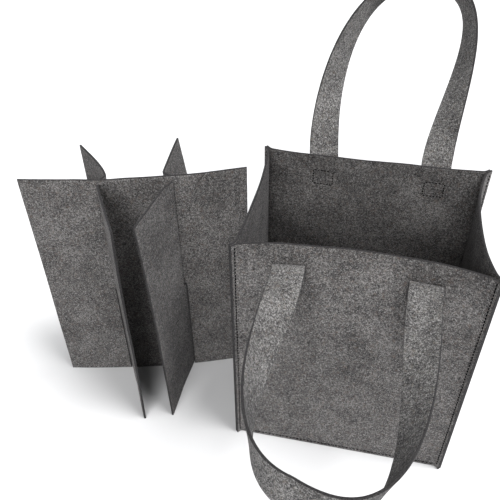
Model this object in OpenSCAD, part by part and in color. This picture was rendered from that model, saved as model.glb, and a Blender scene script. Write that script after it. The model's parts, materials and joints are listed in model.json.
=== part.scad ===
// Open felt tote bag with two strap handles and a lift-out slotted divider.
// Millimetres, +Z up. The origin is on the floor under the middle of the bag.
// -Y is the front. The divider stands on the floor at the bag's -X side.

/* [Felt] */
// Thickness of every sheet of felt
felt_t = 3; // [2.5:0.1:3.4]
// Sewing allowance outside a stitch line
seam_w = 8; // [6:0.5:10]
// Diameter of the sewing thread
thread_d = 0.8; // [0.6:0.1:1]

/* [Bag] */
// Width between the corner stitch lines
bag_w = 280; // [270:1:300]
// Depth between the corner stitch lines
bag_d = 200; // [195:1:215]
// Height of the rim above the floor
bag_h = 358; // [350:1:380]
// How far the front rim bows into the bag
front_bow = 16; // [0:1:24]
// How far the back rim bows into the bag
back_bow = 5; // [0:1:16]
// How far the left rim bows into the bag
left_bow = 5; // [0:1:12]
// How far the right rim bows into the bag
right_bow = 14; // [0:1:24]
// Height at which the walls start to bow
bow_from = 50; // [40:5:150]

/* [Handles] */
// Width of the strap
strap_w = 38; // [30:1:40]
// Depth of the sewn ends below their fold
tab_len = 30; // [26:1:40]
// Height of the front handle's fold
front_fold_z = 332; // [320:1:335]
// Height of the back handle's fold
back_fold_z = 339; // [325:1:342]
// Angle of the front handle out from upright
front_out = 96; // [60:1:110]
// Angle of the back handle out from upright
back_out = 46; // [30:1:80]
// Reach of each loop from its fold to the middle of its top
loop_reach = 263; // [240:1:270]

/* [Divider] */
// Height of the long divider sheet
long_h = 365; // [345:1:370]
// Height of the two cross sheets
cross_h = 358; // [335:1:364]
// Length of the long sheet
long_l = 284; // [270:1:290]
// Half the length of a cross sheet
cross_half = 101; // [92:1:103]
// Width of the slots that lock the sheets together
slot_w = 6.6; // [6.4:0.1:8]
// Height where the slots of the long sheet and the cross sheets meet
slot_z = 178; // [150:1:200]

/* [Hidden] */

// Contact corner of the walls: the inner faces of two neighbouring walls meet here
cx = bag_w / 2 - felt_t / 2;
cy = bag_d / 2 - felt_t / 2;
r2 = sqrt(2);
// Places of the strap centres along X
front_us = [-79, 72];
back_us = [-65, 79];
// Height of the sewing above the floor at the bottom edge
hem_z = seam_w;
// Gap that keeps neighbouring sheets apart
gap = 0.1;
// Gap between a strap end and the wall it is sewn to
tab_gap = 0.25;
// Offset of a fold axis from the wall's outer face
fold_off = 3;

felt_c = [0.36, 0.35, 0.35];
felt_dark_c = [0.30, 0.29, 0.29];
thread_c = [0.16, 0.16, 0.17];

function lerp(a, b, t) = a + (b - a) * t;
function flat(l) = [for (a = l) for (b = a) b];
function unit(v) = v / norm(v);

// How far a wall bows in, for a place s from -1 to 1 along it and a height z
function bow_z(z) = z <= bow_from ? 0 : pow((z - bow_from) / (bag_h - bow_from), 1.5);
function bow(b, s, z) = b * bow_z(z) * pow(max(0, 1 - s * s), 0.8);

// Solid from a stack of closed outlines that all have the same number of points
module loft(rows) {
    m = len(rows);
    n = len(rows[0]);
    faces = concat(
        [[for (i = [n - 1 : -1 : 0]) i]],
        [[for (i = [0 : n - 1]) (m - 1) * n + i]],
        flat([for (j = [0 : m - 2]) flat([for (i = [0 : n - 1])
            let (a = j * n + i, b = j * n + (i + 1) % n, c = a + n, d = b + n)
            [[a, b, d], [a, d, c]]])]));
    polyhedron(points = flat(rows), faces = faces);
}

// Same solid with the end outlines cut into quads, for outlines that aren't flat
module strip(rows) {
    m = len(rows);
    faces = concat(
        [[0, 3, 2], [0, 2, 1]],
        [[(m - 1) * 4, (m - 1) * 4 + 1, (m - 1) * 4 + 2], [(m - 1) * 4, (m - 1) * 4 + 2, (m - 1) * 4 + 3]],
        flat([for (j = [0 : m - 2]) flat([for (i = [0 : 3])
            let (a = j * 4 + i, b = j * 4 + (i + 1) % 4, c = a + 4, d = b + 4)
            [[a, b, d], [a, d, c]]])]));
    polyhedron(points = flat(rows), faces = faces);
}

// Solid sheet from a grid of places. rows[r][i] holds the sheet's middle point and its half thickness
// vector at column i and row r. A cell is left out where its column is in cols and its row from ra to rb.
module grid_sheet(rows, cols, ra, rb) {
    m = len(rows); n = len(rows[0]);
    function in_slot(i) = len([for (c = cols) if (c == i) c]) > 0;
    function has(i, r) = i >= 0 && i < n - 1 && r >= 0 && r < m - 1 && !(in_slot(i) && r >= ra && r < rb);
    function f(i, r) = 2 * (r * n + i);
    function b(i, r) = f(i, r) + 1;
    function quad(q) = [[q[0], q[1], q[2]], [q[0], q[2], q[3]]];
    polyhedron(
        points = flat([for (r = rows) flat([for (p = r) [p[0] + p[1], p[0] - p[1]]])]),
        faces = flat([for (r = [0 : m - 2]) for (i = [0 : n - 2]) if (has(i, r)) concat(
            quad([f(i, r), f(i, r + 1), f(i + 1, r + 1), f(i + 1, r)]),
            quad([b(i, r), b(i + 1, r), b(i + 1, r + 1), b(i, r + 1)]),
            has(i, r - 1) ? [] : quad([f(i, r), f(i + 1, r), b(i + 1, r), b(i, r)]),
            has(i, r + 1) ? [] : quad([f(i, r + 1), b(i, r + 1), b(i + 1, r + 1), f(i + 1, r + 1)]),
            has(i - 1, r) ? [] : quad([b(i, r), b(i, r + 1), f(i, r + 1), f(i, r)]),
            has(i + 1, r) ? [] : quad([f(i + 1, r), f(i + 1, r + 1), b(i + 1, r + 1), b(i + 1, r)]))]));
}

// One wall, as if it were the front: hw half width, hd half depth of the corner
// where its inner face ends, b its bow. Both sides end in a fin at 45 degrees.
wall_n = 12;
function wall_row(hw, hd, b, z) =
    let (t = felt_t, e = t * (r2 - 1),
         fx = seam_w / r2, ox = t / r2)
    concat(
        // outer face, left to right
        [[-hw - fx + ox, -hd - fx - ox, z]],
        [for (i = [0 : wall_n]) let (s = -1 + 2 * i / wall_n)
            [s * (hw + e), -hd - t + bow(b, s, z), z]],
        [[hw + fx - ox, -hd - fx - ox, z]],
        // inner face, right to left
        [[hw + fx, -hd - fx, z]],
        [for (i = [wall_n : -1 : 0]) let (s = -1 + 2 * i / wall_n)
            [s * hw, -hd + bow(b, s, z), z]],
        [[-hw - fx, -hd - fx, z]]);
wall_zs = concat([0, bow_from], [for (i = [1 : 8]) bow_from + (bag_h - bow_from) * i / 8]);
module wall(hw, hd, b) { loft([for (z = wall_zs) wall_row(hw, hd, b, z)]); }

module front_panel() { color(felt_c) wall(cx, cy, front_bow); }
module back_panel() { color(felt_c) rotate([0, 0, 180]) wall(cx, cy, back_bow); }
module left_gusset() { color(felt_dark_c) rotate([0, 0, -90]) wall(cy, cx, left_bow); }
module right_gusset() { color(felt_dark_c) rotate([0, 0, 90]) wall(cy, cx, right_bow); }

// Base: a sheet that sags to the floor in the middle, with its edges turned down inside the walls
module base_panel() {
    t = felt_t; w = cx; d = cy; fx = 40; fy = 34;
    color(felt_dark_c) {
        // flat middle on the floor
        translate([-w + fx, -d + fy, 0]) cube([2 * (w - fx), 2 * (d - fy), t]);
        // sloping border up to the stitch line, then down to the floor
        for (s = [-1, 1]) {
            slope([for (k = [-1, 1]) [k * (w - fx), s * (d - fy)]], [for (k = [-1, 1]) [k * (w - t), s * (d - t)]], s);
            slope([for (k = [1, -1]) [s * (w - fx), k * (d - fy)]], [for (k = [1, -1]) [s * (w - t), k * (d - t)]], s);
        }
        difference() {
            translate([-w, -d, 0]) cube([2 * w, 2 * d, hem_z + t]);
            translate([-w + t, -d + t, -1]) cube([2 * (w - t), 2 * (d - t), hem_z + t + 2]);
        }
    }
}
// One sloping side of the base between two edges, each given by its two ends
module slope(a, b, s) {
    t = felt_t; h = hem_z;
    p = [[a[0][0], a[0][1], 0], [a[1][0], a[1][1], 0], [b[1][0], b[1][1], h], [b[0][0], b[0][1], h]];
    q = [for (v = p) v + [0, 0, t]];
    o = s > 0 ? [0, 1, 2, 3] : [3, 2, 1, 0];
    polyhedron(points = concat([for (i = o) p[i]], [for (i = o) q[i]]),
        faces = [[0, 1, 2], [0, 2, 3], [4, 6, 5], [4, 7, 6],
                 [0, 4, 5], [0, 5, 1], [1, 5, 6], [1, 6, 2], [2, 6, 7], [2, 7, 3], [3, 7, 4], [3, 4, 0]]);
}

// Sewing of one corner: a line of thread on each face of the fin, along its whole height
module corner_seam(sx, sy) {
    a = atan2(sy, sx);
    color(thread_c) translate([sx * cx, sy * cy, 0]) rotate([0, 0, a == 0 ? 0 : a])
        for (s = [-1, 1]) translate([2.4, s * (felt_t + thread_d / 2 + gap / 2), 10])
            cylinder(h = bag_h - 14, d = thread_d, $fn = 16);
}
module front_left_seam() { corner_seam(-1, -1); }
module front_right_seam() { corner_seam(1, -1); }
module back_left_seam() { corner_seam(-1, 1); }
module back_right_seam() { corner_seam(1, 1); }

// Sewing along one bottom edge, outside the wall and inside the turned-down base edge
module base_seam(len, off) {
    color(thread_c) for (y = [-off - felt_t - thread_d / 2 - gap / 2, -off + felt_t + thread_d / 2 + gap / 2])
        translate([-len / 2, y, hem_z - 2.2]) rotate([0, 90, 0]) cylinder(h = len, d = thread_d, $fn = 16);
}
module front_base_seam() { base_seam(2 * cx - 10, cy); }
module back_base_seam() { rotate([0, 0, 180]) base_seam(2 * cx - 10, cy); }
module left_base_seam() { rotate([0, 0, -90]) base_seam(2 * cy - 10, cx); }
module right_base_seam() { rotate([0, 0, 90]) base_seam(2 * cy - 10, cx); }

// Outer face of the front or back wall at x and z, as a distance from the XZ plane
function face_y(b, x, z) = cy + felt_t - bow(b, x / (cx + felt_t * (r2 - 1)), z);

// Sewn end of a strap lying on the wall, from z0 up to z1, centred on x = u
tab_n = 8;
module tab(b, u, z0, z1) {
    loft([for (j = [0 : 5]) let (z = lerp(z0, z1, j / 5))
        concat([for (i = [0 : tab_n]) let (x = u - strap_w / 2 + strap_w * i / tab_n)
                   [x, -face_y(b, x, z) - tab_gap - felt_t, z]],
               [for (i = [tab_n : -1 : 0]) let (x = u - strap_w / 2 + strap_w * i / tab_n)
                   [x, -face_y(b, x, z) - tab_gap, z]])]);
}
module front_handle_ends() {
    color(felt_c) for (u = front_us) tab(front_bow, u, front_fold_z - tab_len, front_fold_z - 3);
}
module back_handle_ends() {
    color(felt_c) rotate([0, 0, 180]) for (u = back_us) tab(back_bow, -u, back_fold_z - tab_len, back_fold_z - 3);
}

// Stitched rectangle that holds one strap end, as threads outside the strap and inside the wall
module stitched_box(b, u, fold_z) {
    w = strap_w - 12; h = 22; zt = fold_z - 4.5; zb = zt - h; r = thread_d;
    for (side = [0, 1]) {
        off = side == 0 ? tab_gap + gap + felt_t + r * 0.5 : -felt_t - r * 0.5 - gap;
        for (z = [zb, zt - r]) loft([for (j = [0, 1]) let (zz = z + j * r)
            concat([for (i = [0 : 4]) let (x = u - w / 2 + w * i / 4) [x, -face_y(b, x, z + r / 2) - off - r / 2, zz]],
                   [for (i = [4 : -1 : 0]) let (x = u - w / 2 + w * i / 4) [x, -face_y(b, x, z + r / 2) - off + r / 2, zz]])]);
        for (x = [u - w / 2 + r / 2, u + w / 2 - r / 2]) loft([for (j = [0 : 3]) let (z = lerp(zb + r + 0.2, zt - r - 0.2, j / 3))
            let (y = -face_y(b, x, z) - off)
            [[x - r / 2, y - r / 2, z], [x + r / 2, y - r / 2, z], [x + r / 2, y + r / 2, z], [x - r / 2, y + r / 2, z]]]);
    }
}
module front_left_stitching() { color(thread_c) stitched_box(front_bow, front_us[0], front_fold_z); }
module front_right_stitching() { color(thread_c) stitched_box(front_bow, front_us[1], front_fold_z); }
module back_left_stitching() { color(thread_c) rotate([0, 0, 180]) stitched_box(back_bow, -back_us[0], back_fold_z); }
module back_right_stitching() { color(thread_c) rotate([0, 0, 180]) stitched_box(back_bow, -back_us[1], back_fold_z); }

// Free loop of a strap in its own plane: u across, v away from the fold, n off the plane.
// The strap lies flat at its ends and turns on edge towards the middle.
function herm(p0, t0, p1, t1, s) =
    (2 * s * s * s - 3 * s * s + 1) * p0 + (s * s * s - 2 * s * s + s) * t0
    + (-2 * s * s * s + 3 * s * s) * p1 + (s * s * s - s * s) * t1;
loop_n = 26;
// q holds: left u, right u, top u, top v, left pull, right pull, top pull left, top pull right,
// left lean, right lean, top lean, left rise, right rise, twist power, twist at the top, where the twist starts
function loop_pt(q, k) =
    let (a = [q[2], q[3], 0], ta = [cos(q[10]), sin(q[10]), 0],
         tl = q[4] * [sin(q[8]), cos(q[8]), q[11]], tr = -q[5] * [sin(q[9]), cos(q[9]), q[12]])
    k <= 1 ? herm([q[0], 0, 0], tl, a, q[6] * ta, k) : herm(a, q[7] * ta, [q[1], 0, 0], tr, k - 1);
function loop_w(q, k) =
    let (e = 0.004, t = unit(loop_pt(q, min(2, k + e)) - loop_pt(q, max(0, k - e))),
         m = unit(cross([0, 0, 1], t)), n = cross(t, m),
         a = q[14] * pow(max(0, ((k <= 1 ? k : 2 - k) - q[15]) / (1 - q[15])), q[13]))
    [cos(a) * m + sin(a) * n, cross(t, cos(a) * m + sin(a) * n)];
// fold axis at [0, y, z]; out is the angle out from upright; side -1 is the front and 1 the back
function placed(p, side, out) = [p[0], side * (p[1] * sin(out) - p[2] * cos(out)), p[1] * cos(out) + p[2] * sin(out)];
module free_loop(q, side, out, y, z) {
    ks = [for (i = [0 : 2 * loop_n]) i == 0 ? 0.0085 : i == 2 * loop_n ? 1.9915 : i / loop_n];
    rows = [for (k = ks) let (c = loop_pt(q, k), f = loop_w(q, k), w = f[0] * strap_w / 2, h = f[1] * felt_t / 2)
        [for (p = [c + w + h, c - w + h, c - w - h, c + w - h]) [0, y, z] + placed(p, side, out)]];
    strip(side < 0 ? rows : [for (r = rows) [r[3], r[2], r[1], r[0]]]);
}
front_q = [front_us[0], front_us[1], -35.5, loop_reach - 10, 225, 288, 273, 412, 5.6, -5.4, 19, 0.07, -0.07, 0.85, 115, 0.1];
back_q = [back_us[0], back_us[1], 34, loop_reach - 1, 290, 258, 295, 356, -11, -5, 0, 0, 0, 0.65, 101, 0.08];
// fold axes, clear of the wall at the outermost edge of either strap
function strap_edge(us) = max([for (u = us) abs(u)]) + strap_w / 2;
front_axis_y = -(face_y(front_bow, strap_edge(front_us), front_fold_z) + fold_off);
back_axis_y = face_y(back_bow, strap_edge(back_us), back_fold_z) + fold_off;
module front_handle() { color(felt_c) free_loop(front_q, -1, front_out, front_axis_y, front_fold_z); }
module back_handle() { color(felt_c) free_loop(back_q, 1, back_out, back_axis_y, back_fold_z); }

// Divider. The long sheet runs from a to b on the floor plan and bows a little to the front.
long_a = [-428, -43];
long_end = long_a + long_l * [cos(16.5), sin(16.5)];
// Plan places where the cross sheets pass through it
j_left = 0.345;
j_right = 0.675;
long_bow = [8, 11];
function long_b(s, z) = lerp(long_bow[0], long_bow[1], z / long_h) * sin(180 * s);
function long_xy(s, z) = lerp(long_a, long_end, s) + long_b(s, z) * [sin(16.5), -cos(16.5)];
function long_dir(s, z) = unit(long_xy(s + 0.01, z) - long_xy(s - 0.01, z));
// Places along the long sheet, with the slot edges among them
half_s = slot_w / 2 / long_l;
long_ss = concat([for (i = [0 : 6]) lerp(0, j_left - half_s, i / 6)], [for (i = [0 : 6]) lerp(j_left + half_s, j_right - half_s, i / 6)],
                 [for (i = [0 : 6]) lerp(j_right + half_s, 1, i / 6)]);
long_zs = [0, 60, 120, slot_z + 1, 240, 302, long_h];
module divider_long_sheet() {
    color(felt_c) grid_sheet([for (z = long_zs) [for (s = long_ss) let (p = long_xy(s, z), d = long_dir(s, z))
        [[p[0], p[1], z], felt_t / 2 * [d[1], -d[0], 0]]]], [6, 13], 0, 3);
}
left_j = long_xy(j_left, long_h / 2);
right_j = long_xy(j_right, long_h / 2);
// Heading of a cross sheet, in degrees left of +Y, at a share f of its length and a height z.
// h holds, for the top and the floor: heading at the slot, at the end, and extra in the middle, then the slide.
function cross_head(h, f, z) = let (k = z / cross_h)
    lerp(h[1][0] + (h[1][1] - h[1][0]) * f + h[1][2] * 4 * f * (1 - f),
         h[0][0] + (h[0][1] - h[0][0]) * f + h[0][2] * 4 * f * (1 - f), k);
// Above the slots each flap also slides along the long sheet, by h[2] at its top, within 15 mm of its slot.
function ease(t) = let (c = min(1, max(0, t))) c * c * (3 - 2 * c);
function cross_slide(h, s, z) = h[2] * pow(max(0, (z - slot_z) / (cross_h - slot_z)), 1.2) * ease((abs(s) - slot_w / 2) / 15);
function cross_xy(j, hf, hb, s, z) = let (h = s < 0 ? hf : hb, f = abs(s) / cross_half, a = cross_head(h, f, z))
    j + s * [-sin(a), cos(a)] + cross_slide(h, s, z) * [cos(16.5), sin(16.5)];
function cross_dir(j, hf, hb, s, z) = unit(cross_xy(j, hf, hb, s + 1, z) - cross_xy(j, hf, hb, s - 1, z));
// A cross sheet is slotted from its top to let the long sheet pass. The slot follows the long sheet's
// bow up the sheet, and is wide enough for the cross sheet to swing.
cross_zs = [0, 45, 90, 135, slot_z - 1, 223, 268, 313, cross_h];
module cross_sheet(j, js, hf, hb) {
    ss = concat([-101, -89, -77, -65, -53, -41, -30, -22, -16, -11, -7, -slot_w / 2], [slot_w / 2, 7, 11, 16, 22, 30, 41, 53, 65, 77, 89, 101]);
    grid_sheet([for (z = cross_zs) let (c = long_b(js, long_h / 2) - long_b(js, z))
        [for (k = ss) let (s = k * cross_half / 101 + c * (1 - pow(abs(k) / 101, 2)), d = cross_dir(j, hf, hb, s, z), p = cross_xy(j, hf, hb, s, z))
            [[p[0], p[1], z], felt_t / 2 * [d[1], -d[0], 0]]]], [11], 4, 8);
}
module divider_left_cross() {
    color(felt_dark_c) cross_sheet(left_j, j_left, [[17, 30.5, 3], [28, 30, 0], 2], [[14, 41, 5], [28, 30, 0], 9]);
}
module divider_right_cross() {
    color(felt_dark_c) cross_sheet(right_j, j_right, [[-1, -6, -0.5], [-3, -2, 0], -6.5], [[8, 4.6, 0], [-3, -2, 0], -16]);
}

front_panel();
back_panel();
left_gusset();
right_gusset();
base_panel();
front_left_seam();
front_right_seam();
back_left_seam();
back_right_seam();
front_base_seam();
back_base_seam();
left_base_seam();
right_base_seam();
front_handle_ends();
front_handle();
back_handle_ends();
back_handle();
front_left_stitching();
front_right_stitching();
back_left_stitching();
back_right_stitching();
divider_long_sheet();
divider_left_cross();
divider_right_cross();
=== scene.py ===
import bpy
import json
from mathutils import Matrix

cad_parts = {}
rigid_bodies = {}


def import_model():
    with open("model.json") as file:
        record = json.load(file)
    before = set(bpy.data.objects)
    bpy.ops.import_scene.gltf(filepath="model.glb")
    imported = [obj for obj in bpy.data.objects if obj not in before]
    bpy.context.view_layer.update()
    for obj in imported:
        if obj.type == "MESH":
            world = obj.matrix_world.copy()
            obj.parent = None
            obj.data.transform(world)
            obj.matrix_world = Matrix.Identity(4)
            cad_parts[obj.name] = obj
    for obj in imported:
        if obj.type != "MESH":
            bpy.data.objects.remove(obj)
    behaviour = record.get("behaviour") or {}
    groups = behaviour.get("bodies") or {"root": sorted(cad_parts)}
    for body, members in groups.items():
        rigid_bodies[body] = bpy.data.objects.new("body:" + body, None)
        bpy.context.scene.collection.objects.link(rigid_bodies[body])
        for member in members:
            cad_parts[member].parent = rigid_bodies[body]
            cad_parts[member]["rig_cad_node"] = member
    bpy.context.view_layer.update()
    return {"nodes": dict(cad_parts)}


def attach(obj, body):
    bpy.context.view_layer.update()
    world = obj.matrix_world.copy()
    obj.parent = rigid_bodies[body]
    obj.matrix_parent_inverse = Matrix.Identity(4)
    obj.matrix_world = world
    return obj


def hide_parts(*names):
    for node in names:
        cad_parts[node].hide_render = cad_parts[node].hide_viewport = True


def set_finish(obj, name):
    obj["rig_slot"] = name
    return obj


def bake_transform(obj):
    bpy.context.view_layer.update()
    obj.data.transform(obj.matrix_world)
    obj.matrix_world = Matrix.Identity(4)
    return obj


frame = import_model()

import json
import math
import bpy
import numpy as np
from mathutils import Matrix, Vector, noise

MM = 0.001
T = 3.0                      # felt thickness, mm
CX, CY = 138.5, 98.5         # corner where the inner faces of two walls meet
BAG_H, BOW_FROM, SEAM = 358.0, 50.0, 8.0
FRONT_BOW, BACK_BOW, LEFT_BOW, RIGHT_BOW = 16.0, 5.0, 5.0, 14.0
STRAP_W, TAB = 38.0, 30.0
FRONT_US, BACK_US = (-79.0, 72.0), (-65.0, 79.0)
FRONT_FOLD, BACK_FOLD = (-96.344, 332.0), (101.856, 339.0)   # y, z of the fold axes
FRONT_OUT, BACK_OUT = 96.0, 46.0


# ---------------------------------------------------------------- small helpers
def smooth(a, b, x):
    t = np.clip((np.asarray(x, float) - a) / (b - a), 0, 1)
    return t * t * (3 - 2 * t)


def unit(v):
    v = np.asarray(v, float)
    return v / np.maximum(np.linalg.norm(v, axis=-1, keepdims=True), 1e-9)


def lumps(points, scale, seed):
    """Smooth noise in -1..1 at points (mm), with features about `scale` mm across."""
    flat = np.asarray(points, float).reshape(-1, 3) / scale
    off = Vector((seed * 7.13, seed * 3.71, seed * 5.37))
    return np.array([noise.noise(Vector(p) + off) for p in flat.tolist()]).reshape(np.shape(points)[:-1])


def new_mesh(name, verts, faces, attrs=None, smooth_shade=True):
    me = bpy.data.meshes.new(name)
    me.from_pydata((np.asarray(verts, float) * MM).tolist(), [], faces)
    me.validate()
    me.update()
    if smooth_shade:
        me.polygons.foreach_set("use_smooth", [True] * len(me.polygons))
    for key, values in (attrs or {}).items():
        a = me.attributes.new(key, "FLOAT", "POINT")
        a.data.foreach_set("value", np.asarray(values, np.float32))
    ob = bpy.data.objects.new(name, me)
    bpy.context.scene.collection.objects.link(ob)
    return ob


RIM = [(0.30, 0.42), (0.06, 0.27), (-0.04, 0.0), (0.06, -0.27), (0.30, -0.42)]   # inset mm, share of thickness


def felt(name, mid, missing=None, seed=1, rough=0.16, inset=0.8, ragged=0.22, thick=T, groove=None):
    """Sheet of felt about a grid of middle points (rows, columns, 3) in mm, with rounded cut edges.
    Cells in `missing` are left out, and their sides get a cut edge as well."""
    mid = np.asarray(mid, float)
    m, n = mid.shape[:2]
    has = np.ones((m + 1, n + 1), bool)
    has[0, :] = has[-1, :] = has[:, 0] = has[:, -1] = False
    if missing is not None:
        has[1:-1, 1:-1] &= ~missing
    du = np.gradient(mid, axis=1)
    dv = np.gradient(mid, axis=0)
    nor = unit(np.cross(du, dv))
    # how many cells meet at each vertex, and the way into the sheet from its border
    inward = np.zeros_like(mid)
    count = np.zeros((m, n), int)
    uu, vv = unit(du), unit(dv)
    for a, b in ((-1, -1), (-1, 1), (1, -1), (1, 1)):
        cell = has[(1 if a > 0 else 0):(m + 1 if a > 0 else m), (1 if b > 0 else 0):(n + 1 if b > 0 else n)]
        count += cell
        inward += cell[..., None] * (a * vv + b * uu)
    border = (count > 0) & (count < 4)
    size = np.linalg.norm(inward, axis=-1)
    way = inward / np.maximum(size, 1e-9)[..., None]
    grow = np.where(count == 2, 1.0, 1.35)
    # cut edges are a little ragged
    wob = (lumps(mid, 9.0, seed + 11) * 0.7 + lumps(mid, 3.5, seed + 12) * 0.3) * ragged
    base = mid + way * (border * (0.15 + wob))[..., None]
    dent = np.zeros((m, n)) if groove is None else np.asarray(groove, float)
    tf = thick / 2 - 0.45 * dent      # the sewing pulls the felt in
    front_h = tf + rough * (0.6 * lumps(mid, 7.0, seed + 1) + 0.6 * lumps(mid, 3.0, seed + 2))
    back_h = tf + rough * (0.6 * lumps(mid, 7.0, seed + 3) + 0.6 * lumps(mid, 3.0, seed + 4))
    pull = way * (border * inset * grow)[..., None]
    front = base + pull + nor * front_h[..., None]
    back = base + pull - nor * back_h[..., None]
    used = count > 0
    idx_f = -np.ones((m, n), int)
    idx_f[used] = np.arange(used.sum())
    idx_b = np.where(used, idx_f + used.sum(), -1)
    verts = [front[used], back[used]]
    edge_attr = [np.zeros(used.sum()), np.zeros(used.sum())]
    # the groove mask is kept on the vertices to paint shade along the sewing
    seam_shade_attr = [dent[used], dent[used]]
    total = 2 * used.sum()
    rings = [idx_f]
    for ins, h in RIM:
        idx = -np.ones((m, n), int)
        idx[border] = total + np.arange(border.sum())
        total += border.sum()
        p = base + way * (ins * grow)[..., None] + nor * (h * thick)
        verts.append(p[border])
        edge_attr.append(np.full(border.sum(), 1.0))
        seam_shade_attr.append(np.zeros(border.sum()))
        rings.append(idx)
    rings.append(idx_b)
    faces = []
    rr, ii = np.nonzero(has[1:-1, 1:-1])
    A, B, C, D = idx_f[rr, ii], idx_f[rr, ii + 1], idx_f[rr + 1, ii + 1], idx_f[rr + 1, ii]
    faces += np.stack([A, B, C, D], 1).tolist()
    A, B, C, D = idx_b[rr, ii], idx_b[rr + 1, ii], idx_b[rr + 1, ii + 1], idx_b[rr, ii + 1]
    faces += np.stack([A, B, C, D], 1).tolist()
    for r, i in zip(rr.tolist(), ii.tolist()):
        for (dr, di, a, b) in ((-1, 0, (r, i), (r, i + 1)), (0, 1, (r, i + 1), (r + 1, i + 1)),
                               (1, 0, (r + 1, i + 1), (r + 1, i)), (0, -1, (r + 1, i), (r, i))):
            if not has[1 + r + dr, 1 + i + di]:
                for k in range(len(rings) - 1):
                    faces.append([int(rings[k][b]), int(rings[k][a]), int(rings[k + 1][a]), int(rings[k + 1][b])])
    ob = new_mesh(name, np.concatenate(verts), faces, {"edge": np.concatenate(edge_attr), "seam": np.concatenate(seam_shade_attr)})
    return ob


def stitches(name, runs, r=0.72, sides=7, rings=7, lift=0.16, sink=0.95):
    """Sewn thread. runs is a list of (points, normals, stitch length, gap) in mm; each stitch is a bowed length of
    thread that comes out of the felt at one end and goes back in at the other."""
    verts, faces = [], []
    for points, normals, length, gap in runs:
        P, N = np.asarray(points, float), unit(normals)
        seg = np.linalg.norm(np.diff(P, axis=0), axis=1)
        s = np.concatenate([[0], np.cumsum(seg)])
        total = s[-1]
        count = max(1, int(round(total / (length + gap))))
        step = total / count
        at = lambda x: np.array([np.interp(x, s, P[:, k]) for k in range(3)])
        nat = lambda x: unit(np.array([np.interp(x, s, N[:, k]) for k in range(3)]))
        for j in range(count):
            a, b = j * step + gap / 2, (j + 1) * step - gap / 2
            jig = 0.22 * math.sin(j * 2.399 + total)
            prev = []
            for q in range(rings):
                t = q / (rings - 1)
                x = a + (b - a) * t
                c, n = at(x), nat(x)
                d = unit(at(min(total, x + 0.2)) - at(max(0, x - 0.2)))
                side = unit(np.cross(n, d))
                arch = math.sin(math.pi * t) ** 0.55 if 0 < t < 1 else 0.0
                c = c + n * (-sink + (lift + sink) * arch) + side * (jig * (t - 0.5))
                rad = r * (0.86 + 0.14 * arch) * (0.35 if q in (0, rings - 1) else 1)
                ring = []
                for k in range(sides):
                    g = 2 * math.pi * k / sides
                    ring.append(len(verts))
                    verts.append(c + (side * math.cos(g) + n * math.sin(g)) * rad)
                if prev:
                    for k in range(sides):
                        faces.append([prev[k], prev[(k + 1) % sides], ring[(k + 1) % sides], ring[k]])
                else:
                    faces.append(ring[::-1])
                prev = ring
            faces.append(prev)
    ob = new_mesh(name, np.array(verts), faces)
    # wind every thread outward
    import bmesh
    bm = bmesh.new()
    bm.from_mesh(ob.data)
    bmesh.ops.recalc_face_normals(bm, faces=bm.faces)
    bm.to_mesh(ob.data)
    bm.free()
    return ob


# ---------------------------------------------------------------- walls
def bow_z(z):
    return np.where(z <= BOW_FROM, 0.0, (np.maximum(z - BOW_FROM, 0) / (BAG_H - BOW_FROM)) ** 1.5)


def bow(b, s, z):
    return b * bow_z(z) * np.maximum(0, 1 - s * s) ** 0.8


def wave(x, z, seed, hw):
    """Slow unevenness of a standing sheet, none at its seams or foot."""
    x, z = np.asarray(x, float), np.asarray(z, float)
    m = smooth(0, 45, hw - np.abs(x)) * smooth(10, 90, z)
    w = (np.sin(x / 37.0 + seed * 1.9 + z / 120.0) * 0.55 + np.sin(z / 29.0 - x / 83.0 + seed * 0.7) * 0.4
         + np.sin(x / 19.0 + z / 23.0 + seed * 2.3) * 0.18)
    return 0.85 * m * w


WALL_ZS = np.concatenate([[0, 1.6, 3.4, 4.9, 5.8, 6.7, 8.4], np.linspace(12, BAG_H - 3.5, 83), [BAG_H - 1.4, BAG_H]])
FIN_AT = [6.9, 5.6, 4.5, 3.95, 3.4, 2.85]      # mm from the corner, with the sewing at 3.4


def wall_groove(n):
    """1 along the sewing of both fins and of the foot of a wall, 0 elsewhere; it pulls the felt in there and paints
    shade along it.
    """
    g = np.zeros((len(WALL_ZS), n))
    g[4, 8:-8] = 1.0
    g[6:-2, 5] = g[6:-2, -6] = 1.0
    return g


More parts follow.
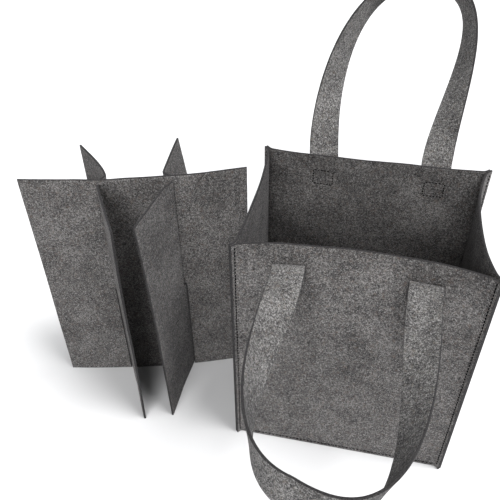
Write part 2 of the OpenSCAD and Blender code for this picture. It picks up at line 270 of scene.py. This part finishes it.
def wall_plan(hw, hd, b, seed):
    """Middle surface of one wall, as if it were the front: fin, bend, wall, bend, fin."""
    fx, ox = SEAM / math.sqrt(2), T / math.sqrt(2)
    zs = WALL_ZS
    xin = np.linspace(-hw + 4.6, hw - 4.6, int(round(2 * hw / 4.2)))
    tip = np.array([-hw - fx + ox / 2, -hd - fx - ox / 2])
    corner = np.array([-hw + 0.62, -hd - T / 2])
    rows = []
    for z in zs:
        along = (tip - corner) / np.linalg.norm(tip - corner)
        f3 = corner + along * FIN_AT[-1]
        fin = [tip] + [corner + along * t for t in FIN_AT]
        y0 = -hd - T / 2 + bow(b, xin[0] / hw, z) + wave(xin[0], z, seed, hw)
        w0 = np.array([xin[0], float(y0)])
        bend = [(1 - t) ** 2 * f3 + 2 * t * (1 - t) * corner + t * t * w0 for t in (0.25, 0.5, 0.75)]
        left = np.array(fin + bend)
        yy = -hd - T / 2 + bow(b, xin / hw, z) + wave(xin, z, seed, hw)
        w1 = np.array([xin[-1], float(yy[-1])])
        tip2, cor2, f32 = tip * [-1, 1], corner * [-1, 1], f3 * [-1, 1]
        bend2 = [(1 - t) ** 2 * w1 + 2 * t * (1 - t) * cor2 + t * t * f32 for t in (0.25, 0.5, 0.75)]
        fin2 = [p * [-1, 1] for p in fin[::-1]]
        right = np.array(bend2 + fin2)
        xy = np.concatenate([left, np.stack([xin, yy], 1), right])
        # the cut rim isn't quite level
        zz = z + smooth(BAG_H - 60, BAG_H, z) * (0.7 * np.sin(xy[:, 0] / 41.0 + seed) + 0.35 * np.sin(xy[:, 0] / 15.0 + 2 * seed) - 0.5)
        rows.append(np.stack([xy[:, 0], xy[:, 1], zz], 1))
    return np.array(rows)


def turn(points, deg):
    a = math.radians(deg)
    R = np.array([[math.cos(a), -math.sin(a), 0], [math.sin(a), math.cos(a), 0], [0, 0, 1]])
    return np.asarray(points) @ R.T


WALLS = {"front": (CX, CY, FRONT_BOW, 0, 1), "back": (CX, CY, BACK_BOW, 180, 2),
         "left": (CY, CX, LEFT_BOW, -90, 3), "right": (CY, CX, RIGHT_BOW, 90, 4)}


def wall_point(side, x, z, out=0.0):
    """Point at x along a wall (as seen in its own frame) and height z, `out` mm outside its middle."""
    hw, hd, b, deg, seed = WALLS[side]
    y = -hd - T / 2 + bow(b, np.asarray(x, float) / hw, np.asarray(z, float)) + wave(x, z, seed, hw) - out
    return turn(np.stack([np.asarray(x, float), y, np.asarray(z, float)], -1), deg)


pieces = {}
for side, node in (("front", "front_panel"), ("back", "back_panel"), ("left", "left_gusset"), ("right", "right_gusset")):
    hw, hd, b, deg, seed = WALLS[side]
    plan = wall_plan(hw, hd, b, seed)
    ob = felt(f"{side}_wall_felt", turn(plan, deg), seed=10 * seed, groove=wall_groove(plan.shape[1]))
    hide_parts(node)
    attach(ob, "bag")
    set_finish(ob, "wall_felt")
    pieces[side] = ob


# ---------------------------------------------------------------- base
def base_plan():
    """Sheet that sags to the floor in the middle and turns down inside the walls, its corners cut out."""
    w, d = CX - T / 2 - 0.1, CY - T / 2 - 0.1
    r = 2.6

    def line(half, n):
        inner = np.linspace(0, half - r, n)
        bend = [half - r + r * math.sin(a) for a in np.radians([30, 60, 90])]
        pos = list(inner) + bend + [half] * 3
        drop = [0] * n + [r * (1 - math.cos(a)) for a in np.radians([30, 60, 90])] + [r + 2.4, r + 4.6, r + 6.4]
        flap = [False] * n + [True] * 6
        x = np.array([-p for p in pos[:0:-1]] + pos)
        dz = np.array(drop[:0:-1] + drop)
        fl = np.array(flap[:0:-1] + flap)
        return x, dz, fl

    x, dx, fx = line(w, 26)
    y, dy, fy = line(d, 19)
    X, Y = np.meshgrid(x, y)
    k = np.maximum((np.abs(X) - (w - 40)) / 38.5, (np.abs(Y) - (d - 34)) / 32.5)
    Z = T / 2 + 0.25 + (SEAM - 0.4) * smooth(-0.12, 1.05, k)
    Z = Z + 0.35 * (np.sin(X / 31.0) * np.sin(Y / 27.0 + 1)) * smooth(1.0, 0.6, k) * 0.5
    Z = np.maximum(Z, T / 2 + 0.15)
    top = T / 2 + 0.25 + SEAM - 0.4
    DX, DY = np.meshgrid(dx, dy)
    drop = np.maximum(DX, DY)
    Z = np.where(drop > 0, top - drop, Z)
    Z = np.maximum(Z, 0.12)
    FX, FY = np.meshgrid(fx, fy)
    both = FX & FY
    cell = both[:-1, :-1] | both[1:, :-1] | both[:-1, 1:] | both[1:, 1:]
    return np.stack([X, Y, Z], -1), cell


mid, cut = base_plan()
base = felt("base_felt", mid, missing=cut, seed=61, rough=0.12)
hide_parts("base_panel")
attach(base, "bag")
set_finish(base, "base_felt")


# ---------------------------------------------------------------- straps
def herm(p0, t0, p1, t1, s):
    return ((2 * s**3 - 3 * s**2 + 1) * p0 + (s**3 - 2 * s**2 + s) * t0 + (-2 * s**3 + 3 * s**2) * p1 + (s**3 - s**2) * t1)


def sind(a):
    return math.sin(math.radians(a))


def cosd(a):
    return math.cos(math.radians(a))


def loop_pt(q, k):
    a, ta = np.array([q[2], q[3], 0.0]), np.array([cosd(q[10]), sind(q[10]), 0])
    tl = q[4] * np.array([sind(q[8]), cosd(q[8]), q[11]])
    tr = -q[5] * np.array([sind(q[9]), cosd(q[9]), q[12]])
    if k <= 1:
        return herm(np.array([q[0], 0, 0.0]), tl, a, q[6] * ta, k)
    return herm(a, q[7] * ta, np.array([q[1], 0, 0.0]), tr, k - 1)


def loop_w(q, k):
    e = 0.004
    t = unit(loop_pt(q, min(2, k + e)) - loop_pt(q, max(0, k - e)))
    m = unit(np.cross([0, 0, 1], t))
    n = np.cross(t, m)
    a = math.radians(q[14] * max(0, ((k if k <= 1 else 2 - k) - q[15]) / (1 - q[15])) ** q[13])
    w = math.cos(a) * m + math.sin(a) * n
    return w, np.cross(t, w)


def placed(p, side, out, axis):
    x, y, z = p
    s, c = sind(out), cosd(out)
    return np.array([x, side * (y * s - z * c) + axis[0], y * c + z * s + axis[1]])


def strap_plan(q, side, out, axis, us, wall, fold_z):
    """Middle surface of a whole strap, from one sewn end through the fold and the loop to the other end."""
    across = np.linspace(-1, 1, 11) * STRAP_W / 2
    face = T / 2 + 0.18 + T / 2

    def tab(u, x, z):
        return wall_point(wall, (u + x) if side < 0 else -(u + x), z, face)

    def loop_row(k, sign):
        c = loop_pt(q, k)
        w, h = loop_w(q, k)
        return np.array([placed(c - w * x * sign, side, out, axis) for x in across])

    sign = 1.0
    # widths run along +X at the left end; turn the loop's rows to match
    first = loop_row(0.02, 1.0)
    if first[-1, 0] < first[0, 0]:
        sign = -1.0
    ks = [k for k in np.linspace(0.034, 1.966, 150)]
    loop = [loop_row(k, sign) for k in ks]
    rows = []
    zs = np.linspace(fold_z - TAB, fold_z - 5.5, 8)
    left = [np.array([tab(us[0], x, z) for x in across]) for z in zs]

    def join(lower, upper, rise, going, n=6):
        """Curl from the top row of a sewn end to the first row of the loop."""
        out_rows = []
        gap = np.linalg.norm(upper - lower, axis=1)[:, None]
        for s in np.linspace(0, 1, n + 2)[1:-1]:
            out_rows.append(herm(lower, rise * gap * 1.25, upper, going * gap * 1.25, s))
        return out_rows

    g0 = unit(loop[1] - loop[0])
    rows += left
    rows += join(left[-1], loop[0], np.array([[0, 0, 1.0]]), g0)
    rows += loop
    right_across = across if loop[-1][-1, 0] > loop[-1][0, 0] else -across
    right = [np.array([tab(us[1], x, z) for x in right_across]) for z in zs]
    g1 = unit(loop[-2] - loop[-1])
    rows += join(right[-1], loop[-1], np.array([[0, 0, 1.0]]), g1)[::-1]
    rows += right[::-1]
    return np.array(rows)


FRONT_Q = [-79, 72, -35.5, 253, 225, 288, 273, 412, 5.6, -5.4, 19, 0.07, -0.07, 0.85, 115, 0.1]
BACK_Q = [-65, 79, 34, 262, 290, 258, 295, 356, -11, -5, 0, 0, 0, 0.65, 101, 0.08]
front_mid = strap_plan(FRONT_Q, -1, FRONT_OUT, FRONT_FOLD, FRONT_US, "front", FRONT_FOLD[1])
back_mid = strap_plan(BACK_Q, 1, BACK_OUT, BACK_FOLD, BACK_US, "back", BACK_FOLD[1])
for name, mid, body, nodes, fold, start, end, seed in (
        ("front_strap_felt", front_mid, "front_handle", ("front_handle", "front_handle_ends"), FRONT_FOLD, (-0.7, 0.7), None, 81),
        ("back_strap_felt", back_mid, "back_handle", ("back_handle", "back_handle_ends"), BACK_FOLD, (0.38, 0.92), None, 95)):
    strap = felt(name, mid, seed=seed, rough=0.14, ragged=0.16)
    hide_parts(*nodes)
    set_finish(strap, "strap_felt")
    way = np.array([0, start[0], start[1]]) / math.hypot(*start)
    hinge = np.array([0, fold[0], fold[1]])
    a, b = hinge + way * (-5.0), hinge + way * 13.0
    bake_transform(strap)
    pieces[name] = strap


# ---------------------------------------------------------------- divider
LONG_A, LONG_L, LONG_DEG = np.array([-428.0, -43.0]), 284.0, 16.5
LONG_H, CROSS_H, CROSS_HALF, SLOT_W, SLOT_Z = 365.0, 358.0, 101.0, 6.6, 178.0
J = {"left": 0.345, "right": 0.675}


def long_bow(s, z):
    return (8 + 3 * z / LONG_H) * math.sin(math.pi * s)


def long_xy(s, z):
    d = np.array([cosd(LONG_DEG), sind(LONG_DEG)])
    return LONG_A + LONG_L * s * d + long_bow(s, z) * np.array([d[1], -d[0]])


def spaced(a, b, step):
    return list(np.linspace(a, b, max(2, int(round((b - a) / step)) + 1)))


half = SLOT_W / 2 / LONG_L
ss, skip_cols = [], []
marks = [0, J["left"] - half, J["left"] + half, J["right"] - half, J["right"] + half, 1]
for k in range(5):
    part = spaced(marks[k], marks[k + 1], 4.2 / LONG_L)
    if k in (1, 3):
        skip_cols += range(len(ss) - 1, len(ss) - 1 + len(part) - 1)
    ss += part if not ss else part[1:]
zs = spaced(0, SLOT_Z + 1, 4.3) + spaced(SLOT_Z + 1, LONG_H, 4.3)[1:]
rows_below = len(spaced(0, SLOT_Z + 1, 4.3)) - 1


def long_wave(s, z):
    near = min(abs(s - J["left"]), abs(s - J["right"])) * LONG_L
    m = float(smooth(6, 40, near)) * (0.3 + 0.7 * float(smooth(0, 200, z)))
    return m * (1.1 * math.sin(s * 11 + 0.6) + 0.7 * math.sin(z / 47.0 + s * 5))


mid = np.zeros((len(zs), len(ss), 3))
for r, z in enumerate(zs):
    for i, s in enumerate(ss):
        p = long_xy(s, z) + long_wave(s, z) * np.array([sind(LONG_DEG), -cosd(LONG_DEG)])
        zz = z + float(smooth(LONG_H - 60, LONG_H, z)) * (0.6 * math.sin(s * 13) - 0.4)
        mid[r, i] = [p[0], p[1], zz]
missing = np.zeros((len(zs) - 1, len(ss) - 1), bool)
for c in skip_cols:
    missing[:rows_below, c] = True
long_sheet = felt("divider_long_felt", mid, missing=missing, seed=121)
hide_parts("divider_long_sheet")
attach(long_sheet, "divider")
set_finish(long_sheet, "divider_felt")


def cross_head(h, f, z):
    k = z / CROSS_H
    lo = h[1][0] + (h[1][1] - h[1][0]) * f + h[1][2] * 4 * f * (1 - f)
    hi = h[0][0] + (h[0][1] - h[0][0]) * f + h[0][2] * 4 * f * (1 - f)
    return lo + (hi - lo) * k


def cross_xy(j, hf, hb, s, z):
    h = hf if s < 0 else hb
    a = cross_head(h, abs(s) / CROSS_HALF, z)
    slide = h[2] * (max(0, z - SLOT_Z) / (CROSS_H - SLOT_Z)) ** 1.2 * float(smooth(0, 15, abs(s) - SLOT_W / 2))
    return j + s * np.array([-sind(a), cosd(a)]) + slide * np.array([cosd(LONG_DEG), sind(LONG_DEG)])


def cross_plan(which, hf, hb, seed):
    j = long_xy(J[which], LONG_H / 2)
    cols = spaced(-CROSS_HALF, -SLOT_W / 2, 4.2)
    gap_cols = spaced(-SLOT_W / 2, SLOT_W / 2, 3.4)
    cols_all = cols + gap_cols[1:] + spaced(SLOT_W / 2, CROSS_HALF, 4.2)[1:]
    first = len(cols) - 1
    gone = range(first, first + len(gap_cols) - 1)
    zs = spaced(0, SLOT_Z - 1, 4.3) + spaced(SLOT_Z - 1, CROSS_H, 4.3)[1:]
    low = len(spaced(0, SLOT_Z - 1, 4.3)) - 1
    grid = np.zeros((len(zs), len(cols_all), 3))
    for r, z in enumerate(zs):
        c = long_bow(J[which], LONG_H / 2) - long_bow(J[which], z)
        for i, k in enumerate(cols_all):
            s = k + c * (1 - (abs(k) / CROSS_HALF) ** 2)
            p = cross_xy(j, hf, hb, s, z)
            d = unit(cross_xy(j, hf, hb, s + 1, z) - cross_xy(j, hf, hb, s - 1, z))
            m = float(smooth(8, 50, abs(k)))
            w = m * (0.8 * math.sin(s / 23.0 + seed) + 0.6 * math.sin(z / 51.0 + seed * 1.3 + s / 60.0))
            zz = z + float(smooth(CROSS_H - 50, CROSS_H, z)) * (0.5 * math.sin(s / 17.0 + seed) - 0.3)
            grid[r, i] = [p[0] + w * d[1], p[1] - w * d[0], zz]
    miss = np.zeros((len(zs) - 1, len(cols_all) - 1), bool)
    for g in gone:
        miss[low:, g] = True
    return grid, miss


for which, hf, hb, seed in (("left", [[17, 30.5, 3], [28, 30, 0], 2], [[14, 41, 5], [28, 30, 0], 9], 141),
                            ("right", [[-1, -6, -0.5], [-3, -2, 0], -6.5], [[8, 4.6, 0], [-3, -2, 0], -16], 157)):
    grid, miss = cross_plan(which, hf, hb, seed)
    ob = felt(f"divider_{which}_felt", grid, missing=miss, seed=seed)
    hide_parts(f"divider_{which}_cross")
    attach(ob, f"{which}_cross")
    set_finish(ob, "divider_felt")


# ---------------------------------------------------------------- sewing
def add_thread(ob, *nodes):
    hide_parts(*nodes)
    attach(ob, "bag")
    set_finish(ob, "thread")
    pieces[ob.name] = ob
    return ob


for name, sx, sy in (("front_left", -1, -1), ("front_right", 1, -1), ("back_left", -1, 1), ("back_right", 1, 1)):
    diag = np.array([sx, sy, 0]) / math.sqrt(2)
    flank = np.array([-sy, sx, 0]) / math.sqrt(2)
    root = np.array([sx * CX, sy * CY, 0]) + diag * 3.4
    runs = []
    for s in (-1, 1):
        zs2 = np.linspace(6.5, BAG_H - 4.5, 60)
        pts = root + flank * s * T + np.outer(zs2, [0, 0, 1]) + diag * (0.25 * np.sin(zs2 / 37.0 + s))[:, None]
        runs.append((pts, np.tile(flank * s, (60, 1)), 4.1, 0.9))
    add_thread(stitches(f"{name}_corner_thread", runs), f"{name}_seam")

for side in ("front", "back", "left", "right"):
    hw = WALLS[side][0]
    xs = np.linspace(-hw + 5, hw - 5, 60)
    zz = SEAM - 2.2 + 0.2 * np.sin(xs / 31.0)
    outer = wall_point(side, xs, zz, T / 2)
    inner = wall_point(side, xs, zz, -T / 2 - T - 0.15)
    n = turn(np.tile([0, -1.0, 0], (60, 1)), WALLS[side][3])
    add_thread(stitches(f"{side}_base_thread", [(outer, n, 4.1, 0.9), (inner, -n, 4.1, 0.9)]), f"{side}_base_seam")


def box_runs(wall, u, fold_z, flip):
    """Rectangle of stitches through a strap end and the wall."""
    w, h, zt = STRAP_W - 12, 22.0, fold_z - 4.9
    zb = zt - h + 0.8
    corners = [(u - w / 2, zb), (u + w / 2, zb), (u + w / 2, zt), (u - w / 2, zt), (u - w / 2, zb)]
    runs = []
    for out, sgn in ((T / 2 + 0.18 + T, 1), (-T / 2, -1)):
        for (x0, z0), (x1, z1) in zip(corners[:-1], corners[1:]):
            t = np.linspace(0.02, 0.98, 9)
            x, z = x0 + (x1 - x0) * t, z0 + (z1 - z0) * t
            p = wall_point(wall, -x if flip else x, z, out)
            q = wall_point(wall, -x if flip else x, z, out + sgn)
            runs.append((p, q - p, 3.6, 0.7))
    return runs


for name, wall, u, fz, flip in (("front_left", "front", FRONT_US[0], FRONT_FOLD[1], False), ("front_right", "front", FRONT_US[1], FRONT_FOLD[1], False),
                                ("back_left", "back", BACK_US[0], BACK_FOLD[1], True), ("back_right", "back", BACK_US[1], BACK_FOLD[1], True)):
    add_thread(stitches(f"{name}_strap_thread", box_runs(wall, u, fz, flip)), f"{name}_stitching")


# ---------------------------------------------------------------- materials
def nodes_of(mat):
    mat.use_nodes = True
    nt = mat.node_tree
    nt.nodes.clear()
    out = nt.nodes.new("ShaderNodeOutputMaterial")
    bsdf = nt.nodes.new("ShaderNodeBsdfPrincipled")
    nt.links.new(bsdf.outputs[0], out.inputs["Surface"])
    return nt, bsdf


def noise_node(nt, coords, scale, detail=3.0, rough=0.6, distortion=0.0, kind="FBM", lac=2.0):
    n = nt.nodes.new("ShaderNodeTexNoise")
    n.noise_type = kind
    n.inputs["Scale"].default_value = scale
    n.inputs["Detail"].default_value = detail
    n.inputs["Roughness"].default_value = rough
    n.inputs["Lacunarity"].default_value = lac
    n.inputs["Distortion"].default_value = distortion
    nt.links.new(coords, n.inputs["Vector"])
    return n


def mapped(nt, coords, loc, rot, scale):
    m = nt.nodes.new("ShaderNodeMapping")
    m.inputs["Location"].default_value = loc
    m.inputs["Rotation"].default_value = rot
    m.inputs["Scale"].default_value = scale
    nt.links.new(coords, m.inputs["Vector"])
    return m.outputs[0]


def math_node(nt, op, a, b=None, c=None, clamp=False):
    m = nt.nodes.new("ShaderNodeMath")
    m.operation = op
    m.use_clamp = clamp
    for k, v in enumerate((a, b, c)):
        if v is None:
            continue
        if isinstance(v, (int, float)):
            m.inputs[k].default_value = v
        else:
            nt.links.new(v, m.inputs[k])
    return m.outputs[0]


def remap(nt, value, a, b, lo=0.0, hi=1.0):
    m = nt.nodes.new("ShaderNodeMapRange")
    m.inputs["From Min"].default_value = a
    m.inputs["From Max"].default_value = b
    m.inputs["To Min"].default_value = lo
    m.inputs["To Max"].default_value = hi
    nt.links.new(value, m.inputs["Value"])
    return m.outputs[0]


def ramp(nt, value, stops):
    r = nt.nodes.new("ShaderNodeValToRGB")
    while len(r.color_ramp.elements) > 1:
        r.color_ramp.elements.remove(r.color_ramp.elements[0])
    r.color_ramp.elements[0].position = stops[0][0]
    r.color_ramp.elements[0].color = (*stops[0][1], 1)
    for pos, col in stops[1:]:
        e = r.color_ramp.elements.new(pos)
        e.color = (*col, 1)
    nt.links.new(value, r.inputs["Fac"])
    return r.outputs["Color"]


def mix(nt, fac, a, b, mode="MIX"):
    m = nt.nodes.new("ShaderNodeMix")
    m.data_type = "RGBA"
    m.blend_type = mode
    m.clamp_factor = True
    for sock, v in ((m.inputs[0], fac), (m.inputs[6], a), (m.inputs[7], b)):
        if isinstance(v, (int, float)):
            sock.default_value = v
        elif isinstance(v, tuple):
            sock.default_value = (*v, 1)
        else:
            nt.links.new(v, sock)
    return m.outputs[2]


def felt_material(name, gain=1.0, seed=0.0, warm=1.0):
    mat = bpy.data.materials.new(name)
    nt, bsdf = nodes_of(mat)
    tc = nt.nodes.new("ShaderNodeTexCoord").outputs["Object"]
    base = mapped(nt, tc, (seed, seed * 0.37, -seed * 0.61), (0.2, 0.1, 0.3), (1, 1, 1))
    g = lambda r, gg, b: (r * gain, gg * gain, b * gain)
    # blotches of darker and lighter fibre, a few millimetres across, on a slow drift
    slow = noise_node(nt, base, 22, 2, 0.5)
    blotch = noise_node(nt, base, 380, 3, 0.62, 0.6)
    fine = noise_node(nt, base, 820, 2, 0.6, 0.8)
    body = math_node(nt, "ADD", math_node(nt, "MULTIPLY", blotch.outputs["Fac"], 0.36), math_node(nt, "MULTIPLY", fine.outputs["Fac"], 0.64))
    body = math_node(nt, "ADD", body, math_node(nt, "MULTIPLY", math_node(nt, "SUBTRACT", slow.outputs["Fac"], 0.5), 0.14))
    col = ramp(nt, body, [(0.38, g(0.022, 0.021, 0.022)), (0.45, g(0.058, 0.056, 0.056)),
                          (0.50, g(0.104, 0.101, 0.100)), (0.55, g(0.172, 0.168, 0.166)), (0.61, g(0.300, 0.292, 0.288))])
    # long hairs lying every way: narrow bands of noise stretched along turned axes
    light, dark = None, None
    for k, (rx, ry, rz) in enumerate(((0.3, 0.5, 0.2), (1.1, -0.4, 0.9), (-0.7, 1.2, 1.9), (0.9, 0.8, -0.8))):
        v = mapped(nt, base, (k * 1.7 + 0.3, -k * 0.9, k * 0.4), (rx, ry, rz), (900, 120, 900))
        h = noise_node(nt, v, 1.0, 1.5, 0.5, 1.1)
        band = math_node(nt, "ABSOLUTE", math_node(nt, "SUBTRACT", h.outputs["Fac"], 0.5))
        line = remap(nt, band, 0.0, 0.020, 1.0, 0.0)
        if k % 2 == 0:
            light = line if light is None else math_node(nt, "MAXIMUM", light, line)
        else:
            dark = line if dark is None else math_node(nt, "MAXIMUM", dark, line)
    patch = noise_node(nt, base, 95, 2, 0.5)
    light_f = math_node(nt, "MULTIPLY", light, remap(nt, patch.outputs["Fac"], 0.40, 0.64, 0.10, 0.75))
    dark_f = math_node(nt, "MULTIPLY", dark, remap(nt, patch.outputs["Fac"], 0.62, 0.38, 0.12, 0.75))
    col = mix(nt, light_f, col, g(0.24 * warm, 0.215, 0.200))
    col = mix(nt, dark_f, col, g(0.016, 0.015, 0.016))
    # browner wool in places
    tint = noise_node(nt, base, 260, 2, 0.5)
    col = mix(nt, remap(nt, tint.outputs["Fac"], 0.56, 0.74, 0.0, 0.45), col, g(0.125 * warm, 0.090, 0.070))
    # cut edges show the darker core
    at = nt.nodes.new("ShaderNodeAttribute")
    at.attribute_name = "edge"
    core = ramp(nt, fine.outputs["Fac"], [(0.3, g(0.014, 0.013, 0.014)), (0.7, g(0.055, 0.053, 0.053))])
    col = mix(nt, remap(nt, at.outputs["Fac"], 0.15, 0.75), col, core)
    # painted shade: the felt is darkened along the sewing, where shadow falls in the pulled-in groove
    seam_shade = nt.nodes.new("ShaderNodeAttribute")
    seam_shade.attribute_name = "seam"
    col = mix(nt, remap(nt, seam_shade.outputs["Fac"], 0.25, 1.0, 0.0, 0.72), col, g(0.020, 0.019, 0.020))
    nt.links.new(col, bsdf.inputs["Base Color"])
    rough = remap(nt, fine.outputs["Fac"], 0.2, 0.8, 0.86, 1.0)
    nt.links.new(rough, bsdf.inputs["Roughness"])
    bsdf.inputs["Specular IOR Level"].default_value = 0.12
    bsdf.inputs["Sheen Weight"].default_value = 0.08
    bsdf.inputs["Sheen Roughness"].default_value = 0.45
    bsdf.inputs["Sheen Tint"].default_value = (0.80, 0.80, 0.84, 1)
    hairs = math_node(nt, "MULTIPLY", math_node(nt, "MAXIMUM", light, dark), 0.5)
    height = math_node(nt, "ADD", math_node(nt, "MULTIPLY", blotch.outputs["Fac"], 0.9), math_node(nt, "ADD", fine.outputs["Fac"], hairs))
    bump = nt.nodes.new("ShaderNodeBump")
    bump.inputs["Strength"].default_value = 0.55
    bump.inputs["Distance"].default_value = 0.0009
    nt.links.new(height, bump.inputs["Height"])
    nt.links.new(bump.outputs[0], bsdf.inputs["Normal"])
    return mat


def thread_material():
    mat = bpy.data.materials.new("thread")
    nt, bsdf = nodes_of(mat)
    tc = nt.nodes.new("ShaderNodeTexCoord").outputs["Object"]
    v = mapped(nt, tc, (0.1, 0.2, 0.3), (0.6, 0.6, 0.2), (1500, 1500, 1500))
    twist = nt.nodes.new("ShaderNodeTexWave")
    twist.inputs["Scale"].default_value = 0.55
    twist.inputs["Distortion"].default_value = 1.5
    nt.links.new(v, twist.inputs["Vector"])
    fuzz = noise_node(nt, tc, 900, 3, 0.6)
    f = math_node(nt, "ADD", math_node(nt, "MULTIPLY", twist.outputs["Fac"], 0.6), math_node(nt, "MULTIPLY", fuzz.outputs["Fac"], 0.4))
    nt.links.new(ramp(nt, f, [(0.2, (0.001, 0.001, 0.001)), (0.8, (0.006, 0.006, 0.007))]), bsdf.inputs["Base Color"])
    bsdf.inputs["Roughness"].default_value = 0.85
    bsdf.inputs["Specular IOR Level"].default_value = 0.04
    bump = nt.nodes.new("ShaderNodeBump")
    bump.inputs["Strength"].default_value = 0.5
    bump.inputs["Distance"].default_value = 0.0002
    nt.links.new(f, bump.inputs["Height"])
    nt.links.new(bump.outputs[0], bsdf.inputs["Normal"])
    return mat


MATS = {"wall_felt": felt_material("wall_felt", 1.0, 0.0), "base_felt": felt_material("base_felt", 0.95, 3.0),
        # painted light: the straps use a lighter, cooler copy of the same felt, standing in for the light from above
        # and the sky on their upturned faces
        "strap_felt": felt_material("strap_felt", 1.08, 7.0, 0.90), "divider_felt": felt_material("divider_felt", 1.0, 12.0),
        "thread": thread_material()}
for ob in bpy.context.scene.objects:
    if ob.type == "MESH" and "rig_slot" in ob and "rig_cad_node" not in ob:
        ob.data.materials.clear()
        ob.data.materials.append(MATS[ob["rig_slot"]])
for node in frame["nodes"].values():
    node.data.materials.clear()
    node.data.materials.append(MATS["wall_felt"])


# ---------------------------------------------------------------- floor, light, camera
def floor():
    me = bpy.data.meshes.new("floor")
    verts, faces, n = [], [], 40
    for k in range(n + 1):
        x = -4 + 8 * k / n
        verts += [(x, -4, 0), (x, 3.0, 0)]
        if k:
            a = 2 * k
            faces.append([a - 2, a, a + 1, a - 1])
    me.from_pydata(verts, [], faces)
    ob = bpy.data.objects.new("floor", me)
    bpy.context.scene.collection.objects.link(ob)
    mat = bpy.data.materials.new("floor")
    nt, bsdf = nodes_of(mat)
    bsdf.inputs["Base Color"].default_value = (0.62, 0.62, 0.625, 1)
    bsdf.inputs["Roughness"].default_value = 0.8
    bsdf.inputs["Specular IOR Level"].default_value = 0.1
    me.materials.append(mat)
    return ob


floor()
bpy.context.scene.view_settings.view_transform = "Standard"
bpy.context.scene.view_settings.gamma = 0.9
world = bpy.data.worlds.new("studio")
bpy.context.scene.world = world
world.use_nodes = True
bg = world.node_tree.nodes["Background"]
bg.inputs["Color"].default_value = (0.98, 0.99, 1.0, 1)
bg.inputs["Strength"].default_value = 0.42


def sun(name, azimuth, elevation, strength, angle, color=(1, 1, 1)):
    """Soft light from azimuth (degrees from +X towards +Y) and elevation."""
    light = bpy.data.lights.new(name, "SUN")
    light.energy = strength
    light.angle = math.radians(angle)
    light.color = color
    ob = bpy.data.objects.new(name, light)
    bpy.context.scene.collection.objects.link(ob)
    az, el = math.radians(azimuth), math.radians(elevation)
    d = -Vector((math.cos(az) * math.cos(el), math.sin(az) * math.cos(el), math.sin(el)))
    ob.rotation_euler = d.to_track_quat("-Z", "Y").to_euler()
    return ob


sun("key", -6, 66, 4.0, 28)
sun("front", -93, 34, 2.8, 34)

yaw, pitch, roll = math.radians(-12.8), math.radians(40.96), math.radians(-0.71)
fwd = Vector((math.sin(yaw) * math.cos(pitch), math.cos(yaw) * math.cos(pitch), -math.sin(pitch)))
right = Vector((math.cos(yaw), -math.sin(yaw), 0))
up = right.cross(fwd)
right2 = math.cos(roll) * right + math.sin(roll) * up
up2 = -math.sin(roll) * right + math.cos(roll) * up
cam = bpy.data.objects.new("camera", bpy.data.cameras.new("camera"))
bpy.context.scene.collection.objects.link(cam)
cam.data.sensor_width = 36
cam.data.lens = 642.4 / 500 * 36
cam.data.clip_start, cam.data.clip_end = 0.02, 20
cam.matrix_world = Matrix(((right2[0], up2[0], -fwd[0], -0.0035), (right2[1], up2[1], -fwd[1], -0.6209),
                           (right2[2], up2[2], -fwd[2], 0.8142), (0, 0, 0, 1)))
bpy.context.scene.camera = cam

bpy.context.view_layer.update()
